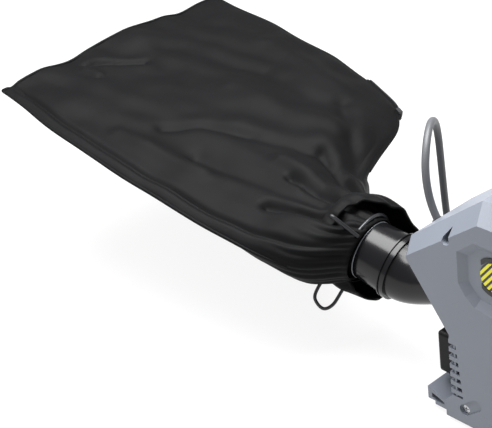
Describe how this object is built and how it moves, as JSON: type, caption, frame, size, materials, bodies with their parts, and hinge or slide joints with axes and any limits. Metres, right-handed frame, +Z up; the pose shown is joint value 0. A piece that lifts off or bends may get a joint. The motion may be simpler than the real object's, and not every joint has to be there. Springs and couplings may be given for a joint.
{
  "type": "leaf vacuum mulcher",
  "caption": "Corded hand-held leaf vacuum mulcher: a nozzle and tube feed a motor-driven impeller and blade in a two-half housing, which blows shreds through a port into a zipped cloth bag.",
  "frame": {"origin": "on the floor under the middle of the skid, in the plane where the two housing halves meet", "axes": "+X forward along the tube to the nozzle, +Y to the machine's left, +Z up"},
  "size_m": [1.1855, 0.3629, 0.3495],
  "materials": {
    "housing_grey": "satin blue-grey moulded plastic",
    "black_plastic": "fine-textured black plastic",
    "gloss_black": "smooth gloss black plastic",
    "steel": "brushed steel",
    "motor_metal": "painted pressed steel",
    "core_iron": "laminated iron",
    "copper": "copper bars",
    "disc_yellow": "yellow disc with plain black stripes",
    "disc_black": "plain black bars",
    "control_orange": "satin orange plastic",
    "soft_black": "soft black rubber",
    "bag_cloth": "near-black woven cloth",
    "wire_black": "black-coated spring wire and zip metal",
    "cord_grey": "dark grey flexible cord sheath",
    "pin_brass": "plated brass pins"
  },
  "bodies": {
    "machine": {"housing_right": "housing_grey", "housing_left": "housing_grey", "housing_screws": "steel", "panel_disc": "disc_yellow", "panel_arcs": "disc_black", "rear_bumper": "black_plastic", "foot_bracket": "housing_grey", "base_skid": "black_plastic", "motor_can": "motor_metal", "stator": "core_iron", "brush_holders": "black_plastic", "bearing_rear": "steel", "bearing_front": "steel", "motor_plate": "motor_metal", "fan_volute": "black_plastic", "discharge_duct": "black_plastic", "intake_cover": "black_plastic", "cover_screws": "steel", "handle_right": "black_plastic", "handle_left": "black_plastic", "handle_screws": "steel", "grip": "soft_black", "trigger_pin": "steel", "trigger_spring": "steel", "switch_module": "black_plastic", "port_base": "gloss_black", "step_ring": "gloss_black", "connector_sleeve": "gloss_black", "strain_relief": "soft_black", "cord_tube": "cord_grey", "cord_coil": "cord_grey", "cord_tie": "cord_grey", "plug": "black_plastic", "plug_pins": "pin_brass"},
    "fan_rotor": {"rotor": "core_iron", "commutator": "copper", "motor_shaft": "steel", "impeller": "black_plastic", "mulching_blade": "steel", "fan_washer": "steel", "fan_nut": "steel"},
    "bag_set": {"bag": "bag_cloth", "bag_clamp": "wire_black", "zip_tape": "bag_cloth"},
    "slider": {"zip_slider": "wire_black"},
    "pull": {"zip_pull": "wire_black"},
    "tube_set": {"suction_tube": "black_plastic", "nozzle": "black_plastic", "nozzle_axle": "steel", "axle_caps": "black_plastic"},
    "wheel_right": {"nozzle_wheel_right": "soft_black"},
    "wheel_left": {"nozzle_wheel_left": "soft_black"},
    "trigger_lever": {"trigger": "control_orange"},
    "lock": {"lock_button": "control_orange"},
    "dial": {"speed_dial": "black_plastic"}
  },
  "joints": [
    {"name": "fan_spin", "type": "hinge", "parent": "machine", "child": "fan_rotor", "pos_m": [0, 0, 0.074], "axis": [1, 0, 0], "continuous": true},
    {"name": "bag_pull_off", "type": "slide", "parent": "machine", "child": "bag_set", "axis": [-0.9631, -0.1182, 0.2419], "range_m": [0, 0.05]},
    {"name": "zip_slide", "type": "slide", "parent": "bag_set", "child": "slider", "axis": [-0.9174, 0.3337, 0.2169], "range_m": [0, 0.08]},
    {"name": "zip_pull_swing", "type": "hinge", "parent": "slider", "child": "pull", "pos_m": [-0.37645, 0.20953, 0.1381], "axis": [-0.9174, 0.3337, 0.2169], "range_deg": [-15, 15]},
    {"name": "tube_pull_off", "type": "slide", "parent": "machine", "child": "tube_set", "axis": [1, 0, 0], "range_m": [0, 0.06]},
    {"name": "wheel_right_spin", "type": "hinge", "parent": "tube_set", "child": "wheel_right", "pos_m": [0.376, -0.0325, 0.016], "axis": [0, 1, 0], "continuous": true},
    {"name": "wheel_left_spin", "type": "hinge", "parent": "tube_set", "child": "wheel_left", "pos_m": [0.376, 0.0325, 0.016], "axis": [0, 1, 0], "continuous": true},
    {"name": "trigger_pull", "type": "hinge", "parent": "machine", "child": "trigger_lever", "pos_m": [0.064, 0, 0.321], "axis": [0, 1, 0], "range_deg": [0, 8], "stiffness_Nm_per_rad": 0.4, "springref_deg": -14.32, "deforming": ["trigger_spring"]},
    {"name": "lock_press", "type": "slide", "parent": "machine", "child": "lock", "axis": [0, -1, 0], "range_m": [0, 0.003], "stiffness_N_per_m": 300, "springref_m": -0.002},
    {"name": "dial_turn", "type": "hinge", "parent": "machine", "child": "dial", "pos_m": [-0.005, 0.06, 0.182], "axis": [0, 1, 0], "range_deg": [0, 270]}
  ]
}
